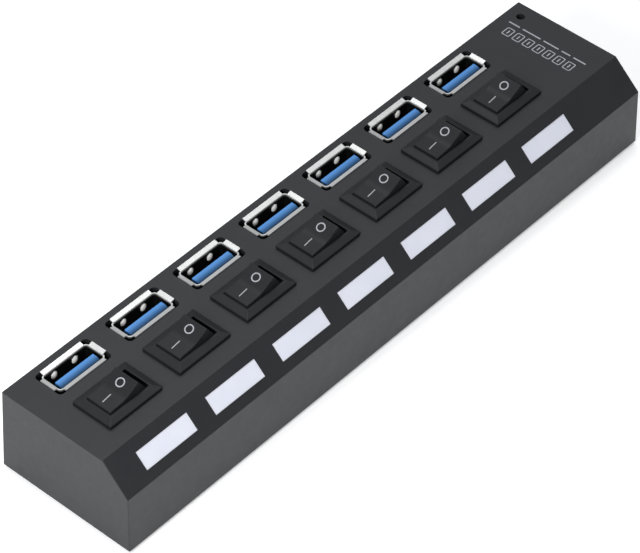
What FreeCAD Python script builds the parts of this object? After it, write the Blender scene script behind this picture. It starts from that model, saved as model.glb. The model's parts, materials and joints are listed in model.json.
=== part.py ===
import FreeCAD, Part
import math
import os

import Sketcher
from FreeCAD import Placement, Rotation, Vector

# Seven-port USB hub with one rocker switch and one lit window per port.
# Row frame, millimetres: X along the hub, the sloping window face looks to -Y, the cable
# end is at +X, +Z is up. The origin is the middle of the underside of the rubber feet.

doc = FreeCAD.newDocument("usb_hub")
sheet = doc.addObject("Spreadsheet::Sheet", "Sizes")

DIMENSIONS = [
    # casing
    ("shell_length", 162.8, "casing length at its top face"),
    ("shell_width", 34.3, "casing width at its top face, to the virtual front corner"),
    ("shell_height", 21.0, "casing height without the feet"),
    ("draft", 0.5, "how far each side leans out from top to bottom"),
    ("wall", 2.0, "casing wall"),
    ("edge_round", 0.22, "rounding of the casing's outer edges"),
    ("slope_run", 6.68, "width of the sloping front face, seen from above"),
    ("slope_drop", 6.39, "height of the sloping front face"),
    ("foot_proud", 0.8, "how far the rubber feet stand below the casing"),
    ("foot_radius", 3.8, "rubber foot"),
    ("foot_x", 70.0, "rubber feet from the middle, along the hub"),
    ("foot_y", 9.0, "rubber feet from the middle, across the hub"),
    ("gap", 0.1, "assembly gap round a piece that sits in an opening"),
    # row of stations
    ("port_count", 7, "sockets, switches and windows"),
    ("port_pitch", 20.0, "distance between stations"),
    ("first_port_x", -66.85, "first station"),
    ("port_y", 11.5, "middle of the socket row"),
    ("switch_shift", -0.1, "switch middle from its station, along the hub"),
    ("switch_y", -0.9, "middle of the switch row"),
    # type-A sockets
    ("mouth_length", 12.5, "socket opening"),
    ("mouth_width", 5.12, "socket opening"),
    ("sheet_metal", 0.3, "socket sheet thickness"),
    ("mouth_round", 0.6, "inner corner radius of the socket"),
    ("lip_reach", 1.14, "flared lip, outwards from the opening"),
    ("lip_drop", 0.45, "lip root below the top face"),
    ("lip_under", 0.21, "inner end of the lip's underside, below the top face"),
    ("lip_proud", 0.3, "lip edge above the top face"),
    ("lip_bend", 0.12, "bend between socket wall and lip"),
    ("rim_drop", 0.15, "wall edge between the lips, below the top face"),
    ("lip_long", 11.4, "straight length of the long lips"),
    ("lip_short", 3.9, "straight length of the short lips"),
    ("port_cut_length", 15.0, "casing opening round a socket"),
    ("port_cut_width", 7.6, "casing opening round a socket"),
    ("port_cut_round", 1.0, "corner radius of that opening"),
    ("spring_x", 3.0, "spring bumps from the socket's middle"),
    ("spring_width", 0.8, "spring bump"),
    ("spring_height", 0.28, "spring bump, inwards"),
    ("spring_top", 1.0, "upper end of a spring bump below the top face"),
    ("spring_peak", 1.9, "crest of a spring bump below the top face"),
    ("spring_crest", 0.4, "length of that crest"),
    ("spring_low", 3.6, "lower end of a spring bump below the top face"),
    ("tongue_length", 10.8, "contact tongue"),
    ("tongue_thick", 1.84, "contact tongue"),
    ("tongue_gap", 0.54, "front wall to tongue"),
    ("tongue_depth", 0.35, "tongue tip below the top face"),
    ("tongue_bevel", 0.7, "bevel along the tongue's front edge"),
    ("insulator_base", 4.6, "height of the block that carries the tongue"),
    ("tongue_root", 0.5, "depth of the tongue in that block"),
    ("contact_thick", 0.12, "contact strips"),
    ("spring_contact_width", 1.0, "long contact, formed to a spring"),
    ("spring_contact_length", 6.6, "long contact, formed to a spring"),
    ("pad_contact_width", 0.8, "short flat contact"),
    ("pad_contact_length", 1.7, "short flat contact"),
    ("pad_contact_inset", 0.3, "upper end of a short contact below the tongue's tip"),
    # rocker switches
    ("bezel_length", 15.0, "switch bezel"),
    ("bezel_width", 10.5, "switch bezel"),
    ("bezel_wall", 0.8, "upright edge of the bezel"),
    ("bezel_rise", 0.6, "sloping part of the bezel, height"),
    ("bezel_slope", 1.5, "sloping part of the bezel, width"),
    ("bezel_round", 0.2, "rounding of the bezel's edges"),
    ("bezel_gap", 0.2, "shadow gap under the bezel's edge"),
    ("bezel_inset", 0.25, "depth of that gap"),
    ("switch_length", 13.0, "switch housing below the panel"),
    ("switch_width", 8.6, "switch housing below the panel"),
    ("switch_depth", 10.0, "switch housing below the panel"),
    ("switch_floor", 1.5, "switch housing floor"),
    ("rocker_well_length", 11.1, "opening that the rocker swings in"),
    ("rocker_well_width", 6.7, "opening that the rocker swings in"),
    ("rocker_half", 5.4, "pivot to the pressed end of the rocker"),
    ("rocker_width", 6.4, "rocker"),
    ("rocker_rim", 2.73, "pivot below the bezel rim"),
    ("rocker_proud", 0.57, "pressed end above the bezel rim"),
    ("rocker_face", 12.0, "slope of either face when the rocker is level"),
    ("rocker_valley", 4.0, "rounding between the two faces"),
    ("rocker_skirt", 0.6, "upright end face below the pivot, when pressed"),
    ("rocker_toe", 1.2, "leaning end face below the upright one"),
    ("rocker_toe_in", 0.3, "how far the leaning end face goes in"),
    ("rocker_keel", 2.6, "underside of the rocker below the pivot"),
    ("keel_half", 2.1, "half the length of the flat underside"),
    ("rocker_round", 0.2, "rounding of the rocker's edges"),
    ("rock_angle", 17.0, "tilt either side of the middle"),
    ("pivot_radius", 0.75, "rocker pivot pins"),
    ("pivot_clearance", 0.05, "running clearance round the pins"),
    ("pivot_length", 0.8, "pivot pin beyond the rocker's side"),
    ("plunger_radius", 0.6, "plunger under the rocker"),
    ("plunger_reach", 5.4, "plunger tip below the pivot"),
    ("plunger_fit", 0.05, "play round the plunger in its bore"),
    ("plunger_bore", 0.5, "end of that bore below the pivot"),
    ("plunger_top", 0.6, "plunger's upper end below the pivot"),
    ("lever_length", 9.0, "contact lever"),
    ("lever_width", 3.0, "contact lever"),
    ("lever_thick", 0.4, "contact lever"),
    ("lever_lift", 0.1, "lever's underside above its pivot"),
    ("lever_bead", 0.35, "radius of the round bead that the lever rocks on"),
    ("lever_pivot", 6.07, "contact lever's pivot below the rocker's"),
    ("lever_angle", 8.5, "contact lever's tilt either side of level"),
    ("terminal_x", 4.0, "side terminal from the switch's middle"),
    ("terminal_width", 2.0, "terminal blade"),
    ("terminal_thick", 0.5, "terminal blade"),
    ("terminal_tail", 0.8, "terminal blade below the board"),
    ("terminal_play", 0.05, "terminal blade to lever"),
    ("floor_slot_play", 0.04, "slot in the switch floor, wider than a blade"),
    ("board_slot_play", 0.4, "slot in the board, wider than a blade"),
    # lit windows
    ("window_length", 14.5, "lit window"),
    ("window_width", 4.2, "lit window, along the slope"),
    ("window_start", 2.87, "window from the slope's top edge"),
    ("window_recess", 0.05, "window behind the sloping face"),
    ("strip_thick", 1.2, "bar that joins the windows behind the wall"),
    ("strip_margin", 0.5, "bar beyond each long edge of the windows"),
    ("strip_play", 0.02, "bar to the back of the wall"),
    # circuit board, cover and screws
    ("board_low", 5.2, "board's underside above the casing's lower edge"),
    ("board_thick", 1.6, "circuit board"),
    ("board_margin", 0.4, "board edge to casing wall"),
    ("cover_thick", 2.0, "bottom cover"),
    ("cover_margin", 0.15, "cover edge to casing wall"),
    ("boss_radius", 2.2, "screw boss"),
    ("post_radius", 2.4, "cover post under the board"),
    ("screw_radius", 1.3, "screw thread"),
    ("pilot_radius", 1.1, "pilot hole that the thread cuts into"),
    ("pilot_depth", 8.0, "pilot hole above the board"),
    ("screw_hole", 1.5, "clearance hole in board and cover"),
    ("screw_length", 12.0, "screw below its head"),
    ("head_radius", 2.2, "screw head"),
    ("head_thick", 1.2, "screw head"),
    ("head_recess", 1.4, "depth of the recess for a screw head"),
    ("head_play", 0.3, "recess round a screw head"),
    ("cross_length", 2.6, "cross slot in a screw head"),
    ("cross_width", 0.6, "cross slot in a screw head, width and depth"),
    ("corner_x", 76.8, "corner screws from the middle, along the hub"),
    ("corner_y", 12.4, "corner screws from the middle, across the hub"),
    ("inner_screw_x", 64.2, "the screw that stands clear of the power inlet"),
    # parts on the board
    ("chip_side", 9.0, "hub controller"),
    ("chip_thick", 0.9, "hub controller"),
    ("can_radius", 2.5, "electrolytic capacitor"),
    ("can_height", 4.6, "electrolytic capacitor above its foot"),
    ("can_foot", 0.8, "square foot of a capacitor"),
    ("can_margin", 0.15, "foot beyond the can"),
    ("lamp_length", 3.5, "lamp behind a window"),
    ("lamp_width", 2.8, "lamp behind a window"),
    ("lamp_height", 1.9, "lamp behind a window"),
    ("lamp_depth", 5.0, "lamps behind the sloping face"),
    ("small_lamp_length", 1.6, "lamp under the status light pipe"),
    ("small_lamp_width", 1.2, "lamp under the status light pipe"),
    ("small_lamp_height", 0.9, "lamp under the status light pipe"),
    # cable end
    ("upstream_y", -3.9, "middle of the upstream socket"),
    ("upstream_width", 12.04, "upstream socket"),
    ("upstream_height", 10.9, "upstream socket"),
    ("upstream_depth", 18.0, "upstream socket"),
    ("insert_set_back", 0.2, "front of the insert inside the socket's mouth"),
    ("insert_floor", 0.6, "insert below the lower well"),
    ("low_well_width", 8.45, "lower well of the upstream socket"),
    ("low_well_height", 6.2, "lower well of the upstream socket"),
    ("high_well_width", 5.6, "upper well of the upstream socket"),
    ("high_well_height", 2.6, "upper well of the upstream socket"),
    ("low_tongue_width", 5.6, "lower tongue"),
    ("low_tongue_height", 3.0, "lower tongue"),
    ("high_tongue_width", 4.0, "upper tongue"),
    ("high_tongue_height", 0.9, "upper tongue"),
    ("high_tongue_place", 0.45, "middle of the upper tongue, as a share of its well"),
    ("tongue_set_back", 0.8, "tongue tips inside the socket's mouth"),
    ("strip_set_back", 1.6, "contact tips inside the socket's mouth"),
    ("upstream_strip_length", 6.0, "upstream contacts"),
    ("upstream_strip_width", 0.8, "contacts on the lower tongue"),
    ("fine_strip_width", 0.4, "contacts on the upper tongue"),
    ("fine_strip_pitch", 0.75, "contacts on the upper tongue"),
    ("upstream_strip_pitch", 2.5, "contacts on the lower tongue"),
    ("plug_depth", 9.5, "how far a plug goes in"),
    ("jack_y", 6.8, "middle of the power inlet"),
    ("jack_width", 8.0, "power inlet body"),
    ("jack_height", 10.8, "power inlet body"),
    ("jack_depth", 12.2, "power inlet body"),
    ("jack_axis", 6.4, "power inlet's axis above the board"),
    ("jack_bore", 3.15, "power inlet bore radius"),
    ("jack_pin", 1.0, "power inlet centre pin radius"),
    ("jack_root", 0.8, "radius of the pin's root in the body"),
    ("jack_root_length", 1.4, "depth of that root"),
    ("jack_play", 0.02, "play round and behind the root"),
    ("jack_window", 3.7, "radius of the casing hole in front of the inlet"),
    # status light
    ("status_x", 77.6, "status light"),
    ("status_y", 13.5, "status light"),
    ("status_radius", 1.0, "hole for the status light"),
    ("status_recess", 1.2, "light pipe below the top face"),
    ("status_foot", 1.0, "light pipe above the board"),
]


class Size:
    """A length that carries its value and the spreadsheet expression it comes from."""

    def __init__(self, value, text):
        self.value = value
        self.text = text

    def __add__(self, other):
        other = as_size(other)
        return Size(self.value + other.value, f"({self.text} + {other.text})")

    def __sub__(self, other):
        other = as_size(other)
        return Size(self.value - other.value, f"({self.text} - {other.text})")

    def __mul__(self, other):
        other = as_size(other)
        return Size(self.value * other.value, f"({self.text} * {other.text})")

    def __truediv__(self, other):
        other = as_size(other)
        return Size(self.value / other.value, f"({self.text} / {other.text})")

    def __radd__(self, other):
        return as_size(other) + self

    def __rsub__(self, other):
        return as_size(other) - self

    def __rmul__(self, other):
        return as_size(other) * self

    def __neg__(self):
        return Size(-self.value, f"(-1 * {self.text})")


def as_size(length):
    return length if isinstance(length, Size) else Size(float(length), repr(float(length)))


def sine(angle):
    return Size(math.sin(math.radians(angle.value)), f"sin({angle.text})")


def cosine(angle):
    return Size(math.cos(math.radians(angle.value)), f"cos({angle.text})")


def arctan(ratio):
    return Size(math.degrees(math.atan(ratio.value)), f"atan({ratio.text})")


def hypotenuse(a, b):
    return Size(math.hypot(a.value, b.value), f"sqrt({a.text} ^ 2 + {b.text} ^ 2)")


def read_sizes():
    """Fill the spreadsheet and hand back one Size per alias."""
    sizes = {}
    for row, (alias, value, note) in enumerate(DIMENSIONS, start=1):
        sheet.set(f"A{row}", alias)
        sheet.set(f"B{row}", str(value))
        sheet.set(f"C{row}", note)
        sheet.setAlias(f"B{row}", alias)
        sizes[alias] = Size(float(value), f"Sizes.{alias}")
    doc.recompute()
    return sizes


size = read_sizes()
nodes = {}


# ---------------------------------------------------------------- document helpers

def bind(obj, prop, length):
    obj.setExpression(prop, as_size(length).text)


def place(obj, at, axis=None, angle=0.0):
    """Put an object at a point, turned about an axis through that point."""
    if axis is not None:
        obj.Placement = Placement(Vector(), Rotation(axis, as_size(angle).value))
        bind(obj, ".Placement.Rotation.Angle", angle)
    for letter, coordinate in zip("xyz", at):
        bind(obj, f".Placement.Base.{letter}", coordinate)


def block(name, middle, low, length, width, height):
    """A box centred on middle = (x, y), standing on the height low."""
    solid = doc.addObject("Part::Box", name)
    bind(solid, "Length", length)
    bind(solid, "Width", width)
    bind(solid, "Height", height)
    place(solid, (middle[0] - length / 2, middle[1] - width / 2, low))
    return solid


def rod(name, at, radius, height, axis=None, angle=0.0):
    solid = doc.addObject("Part::Cylinder", name)
    bind(solid, "Radius", radius)
    bind(solid, "Height", height)
    place(solid, at, axis, angle)
    return solid


def ball(name, at, radius):
    solid = doc.addObject("Part::Sphere", name)
    bind(solid, "Radius", radius)
    place(solid, at)
    return solid


def fuse(name, *parts):
    joined = doc.addObject("Part::MultiFuse", name)
    joined.Shapes = list(parts)
    joined.Refine = True
    return joined


def cut(name, base, tool):
    remainder = doc.addObject("Part::Cut", name)
    remainder.Base = base
    remainder.Tool = tool
    return remainder


def group(name, parts):
    """Separate solids that share one node."""
    compound = doc.addObject("Part::Compound", name)
    compound.Links = parts
    return compound


def keep(name, obj):
    obj.Label = name
    nodes[name] = obj
    return obj


def new_body(name):
    return keep(name, doc.addObject("PartDesign::Body", name))


def origin_feature(body, role):
    return next(item for item in body.Origin.OriginFeatures if item.Role == role)


def sketch_on(body, name, plane, offset=0.0):
    sketch = body.newObject("Sketcher::SketchObject", f"{body.Name}_{name}")
    sketch.AttachmentSupport = [(origin_feature(body, plane), "")]
    sketch.MapMode = "FlatFace"
    bind(sketch, ".AttachmentOffset.Base.z", offset)
    return sketch


def fix_point(sketch, geometry, point, at, tag):
    """Hold one sketch point at its distances from the sketch's origin."""
    for letter, kind, coordinate in zip("uv", ("DistanceX", "DistanceY"), at):
        length = as_size(coordinate)
        sketch.addConstraint(Sketcher.Constraint(kind, -1, 1, geometry, point, length.value))
        constraint = sketch.ConstraintCount - 1
        sketch.renameConstraint(constraint, f"{letter}{tag}")
        sketch.setExpression(f"Constraints.{letter}{tag}", length.text)


def bind_radius(sketch, geometry, radius, tag):
    sketch.addConstraint(Sketcher.Constraint("Radius", geometry, radius.value))
    sketch.renameConstraint(sketch.ConstraintCount - 1, f"r{tag}")
    sketch.setExpression(f"Constraints.r{tag}", radius.text)


def outline(body, name, plane, points, offset=0.0):
    """A sketch of a closed polygon whose corners are bound to the sizes."""
    sketch = sketch_on(body, name, plane, offset)
    corners = [Vector(as_size(u).value, as_size(v).value, 0) for u, v in points]
    count = len(corners)
    for index in range(count):
        sketch.addGeometry(Part.LineSegment(corners[index], corners[(index + 1) % count]), False)
    for index in range(count):
        sketch.addConstraint(Sketcher.Constraint("Coincident", index, 2, (index + 1) % count, 1))
    for index, point in enumerate(points):
        fix_point(sketch, index, 1, point, index)
    return sketch


def rectangle(body, name, plane, middle, length, width, offset=0.0):
    u, v = (as_size(coordinate) for coordinate in middle)
    half_u, half_v = as_size(length) / 2, as_size(width) / 2
    points = [(u - half_u, v - half_v), (u + half_u, v - half_v),
              (u + half_u, v + half_v), (u - half_u, v + half_v)]
    return outline(body, name, plane, points, offset)


def rounded_rectangle(body, name, plane, middle, length, width, radius, offset=0.0):
    """A rectangle with round corners: four bound sides joined by four arcs."""
    sketch = sketch_on(body, name, plane, offset)
    u, v = (as_size(coordinate) for coordinate in middle)
    half_u, half_v = as_size(length) / 2, as_size(width) / 2
    flat_u, flat_v = half_u - radius, half_v - radius
    sides = [((u - flat_u, v - half_v), (u + flat_u, v - half_v)),
             ((u + half_u, v - flat_v), (u + half_u, v + flat_v)),
             ((u + flat_u, v + half_v), (u - flat_u, v + half_v)),
             ((u - half_u, v + flat_v), (u - half_u, v - flat_v))]
    for start, end in sides:
        sketch.addGeometry(Part.LineSegment(*(Vector(a.value, b.value, 0) for a, b in (start, end))))
    centres = [(u + flat_u, v - flat_v), (u + flat_u, v + flat_v),
               (u - flat_u, v + flat_v), (u - flat_u, v - flat_v)]
    for index, (a, b) in enumerate(centres):
        circle = Part.Circle(Vector(a.value, b.value, 0), Vector(0, 0, 1), radius.value)
        first = (index - 1) * math.pi / 2
        arc = sketch.addGeometry(Part.ArcOfCircle(circle, first, first + math.pi / 2))
        sketch.addConstraint(Sketcher.Constraint("Coincident", index, 2, arc, 1))
        sketch.addConstraint(Sketcher.Constraint("Coincident", (index + 1) % 4, 1, arc, 2))
        bind_radius(sketch, arc, radius, index)
    for index, ends in enumerate(sides):
        for point, at in enumerate(ends, start=1):
            fix_point(sketch, index, point, at, f"{index}_{point}")
    return sketch


def circles(body, name, plane, centres, radius, offset=0.0):
    sketch = sketch_on(body, name, plane, offset)
    for index, (u, v) in enumerate(centres):
        centre = Vector(as_size(u).value, as_size(v).value, 0)
        sketch.addGeometry(Part.Circle(centre, Vector(0, 0, 1), radius.value), False)
        fix_point(sketch, index, 3, (u, v), index)
        bind_radius(sketch, index, radius, index)
    return sketch


def feature(body, kind, name, sketch, length, symmetric=False, reverse=False, taper=None):
    """A pad or pocket of a sketch."""
    step = body.newObject(f"PartDesign::{kind}", f"{body.Name}_{name}")
    step.Profile = sketch
    bind(step, "Length", length)
    if symmetric:
        step.SideType = "Symmetric"
    step.Reversed = reverse
    if taper is not None:
        bind(step, "TaperAngle", taper)
    sketch.Visibility = False
    return step


def pad(body, name, sketch, length, **options):
    return feature(body, "Pad", name, sketch, length, **options)


def pocket(body, name, sketch, length, **options):
    return feature(body, "Pocket", name, sketch, length, **options)


def round_edges(body, name, base, radius, wanted):
    """Fillet the edges of a feature whose middle point and direction pass a test."""
    doc.recompute()
    names = []
    for index, edge in enumerate(base.Shape.Edges, start=1):
        middle = edge.valueAt((edge.FirstParameter + edge.LastParameter) / 2)
        run = edge.Vertexes[-1].Point - edge.Vertexes[0].Point
        if wanted(middle, run):
            names.append(f"Edge{index}")
    fillet = body.newObject("PartDesign::Fillet", f"{body.Name}_{name}")
    fillet.Base = (base, names)
    bind(fillet, "Radius", radius)
    return fillet


def along_row(body, name, features):
    """Repeat features once per station."""
    pattern = body.newObject("PartDesign::LinearPattern", f"{body.Name}_{name}")
    pattern.Originals = features
    pattern.Direction = (origin_feature(body, "X_Axis"), [""])
    bind(pattern, "Length", size["port_pitch"] * (size["port_count"] - 1))
    bind(pattern, "Occurrences", size["port_count"])
    body.Tip = pattern
    return pattern


def mirrored(body, name, features, plane):
    mirror = body.newObject("PartDesign::Mirrored", f"{body.Name}_{name}")
    mirror.Originals = features
    mirror.MirrorPlane = (origin_feature(body, plane), [""])
    body.Tip = mirror
    return mirror


# ---------------------------------------------------------------- shared heights and places

OVER = 1.0     # how far a cutting shape runs past the face it opens
NEAR = 0.1     # two edges closer than this count as one place

base_z = size["foot_proud"]
top_z = base_z + size["shell_height"]
board_z = base_z + size["board_low"]
board_top = board_z + size["board_thick"]
inner_length = size["shell_length"] - 2 * size["wall"]
inner_half_width = size["shell_width"] / 2 - size["wall"]
inner_top = top_z - size["wall"]
rim_z = top_z + size["bezel_wall"] + size["bezel_rise"]
pivot_z = rim_z - size["rocker_rim"]
end_wall_x = inner_length / 2
mouth_x = size["shell_length"] / 2

slope_length = hypotenuse(size["slope_run"], size["slope_drop"])
down_y = -size["slope_run"] / slope_length
down_z = -size["slope_drop"] / slope_length
slope_edge_y = size["slope_run"] - size["shell_width"] / 2

CORNER_SCREWS = [(-size["corner_x"], -size["corner_y"]), (size["corner_x"], -size["corner_y"]),
                 (-size["corner_x"], size["corner_y"]), (size["inner_screw_x"], size["corner_y"])]
FEET = [(side_x * size["foot_x"], side_y * size["foot_y"]) for side_x in (-1, 1) for side_y in (-1, 1)]
STATIONS = range(int(size["port_count"].value))
CHIP_STATIONS = (1, 4)     # each chip lies between this station and the next


def station_x(number):
    return size["first_port_x"] + number * size["port_pitch"]


def switch_x(number):
    return station_x(number) + size["switch_shift"]


def on_slope(down, depth):
    """Point (y, z) a distance down the sloping face and a depth behind it."""
    return (slope_edge_y + down * down_y - depth * down_z,
            top_z + down * down_z + depth * down_y)


def slope_section(start, width, front, back):
    """Corners of a bar that lies in the sloping wall, as seen from the end of the hub."""
    return [on_slope(start, front), on_slope(start + width, front),
            on_slope(start + width, back), on_slope(start, back)]


# ---------------------------------------------------------------- casing

def make_top_shell():
    """Drafted tub, open below, with the sloping front, bosses and all the openings."""
    body = new_body("top_shell")
    plan = rectangle(body, "plan", "XY_Plane", (0, 0), size["shell_length"] + 2 * size["draft"],
                     size["shell_width"] + 2 * size["draft"], base_z)
    pad(body, "tub", plan, size["shell_height"], taper=-arctan(size["draft"] / size["shell_height"]))

    above, below = on_slope(-2 * OVER, 0.0), on_slope(1.5 * slope_length, 0.0)
    wedge = outline(body, "slope_section", "YZ_Plane", [above, below, (below[0], above[1])])
    slope = pocket(body, "slope", wedge, 2 * size["shell_length"], symmetric=True)
    round_edges(body, "edges", slope, size["edge_round"],
                lambda middle, run: middle.z > base_z.value + NEAR)

    turn = arctan(size["slope_drop"] / size["slope_run"])
    inner_edge_y = slope_edge_y + size["wall"] * (1 - cosine(turn)) / sine(turn)
    front_drop = (inner_edge_y + inner_half_width) * size["slope_drop"] / size["slope_run"]
    hollow = outline(body, "hollow_section", "YZ_Plane", [
        (-inner_half_width, base_z - OVER), (inner_half_width, base_z - OVER),
        (inner_half_width, inner_top), (inner_edge_y, inner_top),
        (-inner_half_width, inner_top - front_drop)])
    pocket(body, "hollow", hollow, inner_length, symmetric=True)

    front_bosses = circles(body, "front_boss_plan", "XY_Plane", CORNER_SCREWS[:2],
                           size["boss_radius"], board_top)
    pad(body, "front_bosses", front_bosses, inner_top - size["wall"] - board_top)
    back_bosses = circles(body, "back_boss_plan", "XY_Plane", CORNER_SCREWS[2:],
                          size["boss_radius"], board_top)
    pad(body, "back_bosses", back_bosses, inner_top + size["wall"] / 2 - board_top)
    pilots = circles(body, "pilot_plan", "XY_Plane", CORNER_SCREWS, size["pilot_radius"], board_top)
    pocket(body, "pilots", pilots, size["pilot_depth"], reverse=True)

    port = rounded_rectangle(body, "port_plan", "XY_Plane", (station_x(0), size["port_y"]),
                             size["port_cut_length"], size["port_cut_width"],
                             size["port_cut_round"], top_z)
    port_cut = pocket(body, "port_opening", port, size["wall"] + OVER)
    switch = rectangle(body, "switch_plan", "XY_Plane", (switch_x(0), size["switch_y"]),
                       size["switch_length"] + 2 * size["gap"],
                       size["switch_width"] + 2 * size["gap"], top_z)
    switch_cut = pocket(body, "switch_opening", switch, size["wall"] + OVER)
    window = outline(body, "window_section", "YZ_Plane",
                     slope_section(size["window_start"] - size["gap"] / 2,
                                   size["window_width"] + size["gap"], -OVER,
                                   size["wall"] + OVER / 2),
                     station_x(0))
    window_cut = pocket(body, "window_opening", window, size["window_length"] + size["gap"],
                        symmetric=True)
    along_row(body, "row_openings", [port_cut, switch_cut, window_cut])

    status = circles(body, "status_plan", "XY_Plane", [(size["status_x"], size["status_y"])],
                     size["status_radius"], top_z)
    pocket(body, "status_hole", status, size["wall"] + OVER)
    socket = rectangle(body, "upstream_section", "YZ_Plane",
                       (size["upstream_y"], board_top + size["upstream_height"] / 2),
                       size["upstream_width"] + 4 * size["gap"],
                       size["upstream_height"] + 4 * size["gap"], mouth_x + 2 * OVER)
    pocket(body, "upstream_opening", socket, 2 * size["wall"] + OVER)
    inlet = circles(body, "inlet_section", "YZ_Plane",
                    [(size["jack_y"], board_top + size["jack_axis"])], size["jack_window"],
                    mouth_x + 2 * OVER)
    body.Tip = pocket(body, "inlet_opening", inlet, 2 * size["wall"] + OVER)


def make_bottom_cover():
    """Flat cover with hollow posts that hold the board against the bosses."""
    body = new_body("bottom_cover")
    plan = rectangle(body, "plan", "XY_Plane", (0, 0), inner_length - 2 * size["cover_margin"],
                     2 * (inner_half_width - size["cover_margin"]), base_z)
    pad(body, "plate", plan, size["cover_thick"])
    post_low = base_z + size["cover_thick"] / 2
    posts = circles(body, "post_plan", "XY_Plane", CORNER_SCREWS, size["post_radius"], post_low)
    pad(body, "posts", posts, board_z - post_low)
    holes = circles(body, "hole_plan", "XY_Plane", CORNER_SCREWS, size["screw_hole"], base_z)
    pocket(body, "holes", holes, size["board_low"], reverse=True)
    recesses = circles(body, "recess_plan", "XY_Plane", CORNER_SCREWS,
                       size["head_radius"] + size["head_play"], base_z)
    pocket(body, "head_recesses", recesses, size["head_recess"], reverse=True)
    seats = circles(body, "seat_plan", "XY_Plane", FEET, size["foot_radius"] + size["gap"], base_z)
    body.Tip = pocket(body, "foot_seats", seats, size["foot_proud"], reverse=True)


def make_feet():
    pads = [rod(f"foot_{index}", (x, y, as_size(0)), size["foot_radius"], 2 * size["foot_proud"])
            for index, (x, y) in enumerate(FEET, start=1)]
    keep("rubber_feet", group("rubber_feet", pads))


def make_screws():
    """Pan-head screws, driven up through the cover and the board into the bosses."""
    seat = base_z + size["head_recess"]
    screws = []
    for index, (x, y) in enumerate(CORNER_SCREWS, start=1):
        shank = rod(f"screw_shank_{index}", (x, y, seat), size["screw_radius"], size["screw_length"])
        head = rod(f"screw_head_{index}", (x, y, seat - size["head_thick"]), size["head_radius"],
                   size["head_thick"])
        slot = [block(f"screw_slot_{index}_{turn}", (x, y), seat - size["head_thick"], *extent,
                      size["cross_width"])
                for turn, extent in enumerate([(size["cross_length"], size["cross_width"]),
                                               (size["cross_width"], size["cross_length"])])]
        blank = fuse(f"screw_blank_{index}", shank, head)
        screws.append(cut(f"screw_{index}", blank, fuse(f"screw_cross_{index}", *slot)))
    keep("case_screws", group("case_screws", screws))


# ---------------------------------------------------------------- circuit board and what it carries

def make_board():
    body = new_body("circuit_board")
    plan = rectangle(body, "plan", "XY_Plane", (0, 0), inner_length - 2 * size["board_margin"],
                     2 * (inner_half_width - size["board_margin"]), board_z)
    pad(body, "plate", plan, size["board_thick"])
    holes = circles(body, "hole_plan", "XY_Plane", CORNER_SCREWS, size["screw_hole"], board_top)
    pocket(body, "screw_holes", holes, 2 * size["board_thick"])
    slots = []
    for name, offset in (("middle", as_size(0)), ("side", size["terminal_x"])):
        slot = rectangle(body, f"{name}_slot", "XY_Plane", (switch_x(0) + offset, size["switch_y"]),
                         size["terminal_thick"] + size["board_slot_play"],
                         size["terminal_width"] + size["board_slot_play"], board_top)
        slots.append(pocket(body, f"{name}_terminal_slot", slot, 2 * size["board_thick"]))
    along_row(body, "terminal_slots", slots)


def make_board_parts():
    half_pitch = size["port_pitch"] / 2
    chips = [block(f"chip_{index}", (switch_x(station) + half_pitch, size["switch_y"]), board_top,
                   size["chip_side"], size["chip_side"], size["chip_thick"])
             for index, station in enumerate(CHIP_STATIONS, start=1)]
    keep("hub_chips", group("hub_chips", chips))

    radius, foot_height = size["can_radius"], size["can_foot"]
    foot_side = 2 * (radius + size["can_margin"])
    cans = []
    for number in STATIONS[:-1]:
        x = station_x(number) + half_pitch
        can = rod(f"can_{number + 1}", (x, size["port_y"], board_top), radius,
                  size["can_height"] + foot_height)
        foot = block(f"can_foot_{number + 1}", (x, size["port_y"]), board_top, foot_side, foot_side,
                     foot_height)
        cans.append(fuse(f"capacitor_{number + 1}", can, foot))
    keep("capacitors", group("capacitors", cans))

    lamp_y = on_slope(size["window_start"] + size["window_width"] / 2, size["lamp_depth"])[0]
    lamps = [block(f"lamp_{number + 1}", (station_x(number), lamp_y), board_top,
                   size["lamp_length"], size["lamp_width"], size["lamp_height"])
             for number in STATIONS]
    lamps.append(block("status_lamp", (size["status_x"], size["status_y"]), board_top,
                       size["small_lamp_length"], size["small_lamp_width"],
                       size["small_lamp_height"]))
    keep("indicator_leds", group("indicator_leds", lamps))

    pipe_low = board_top + size["status_foot"]
    pipe = rod("status_pipe", (size["status_x"], size["status_y"], pipe_low),
               size["status_radius"] - size["gap"] / 2, top_z - size["status_recess"] - pipe_low)
    keep("status_light_pipe", pipe)


def make_window_strip():
    """One milky moulding: a bar behind the sloping wall with a pad in each window."""
    body = new_body("window_strip")
    half_row = size["port_pitch"] * (size["port_count"] - 1) / 2
    margin = size["strip_margin"]
    bar = outline(body, "bar_section", "YZ_Plane",
                  slope_section(size["window_start"] - margin, size["window_width"] + 2 * margin,
                                size["wall"] + size["strip_play"],
                                size["wall"] + size["strip_thick"]),
                  station_x(0) + half_row)
    pad(body, "bar", bar, 2 * half_row + size["window_length"], symmetric=True)
    window = outline(body, "window_section", "YZ_Plane",
                     slope_section(size["window_start"], size["window_width"],
                                   size["window_recess"],
                                   size["wall"] + size["strip_thick"] / 2), station_x(0))
    pads = pad(body, "window", window, size["window_length"], symmetric=True)
    along_row(body, "windows", [pads])


# ---------------------------------------------------------------- type-A sockets

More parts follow.
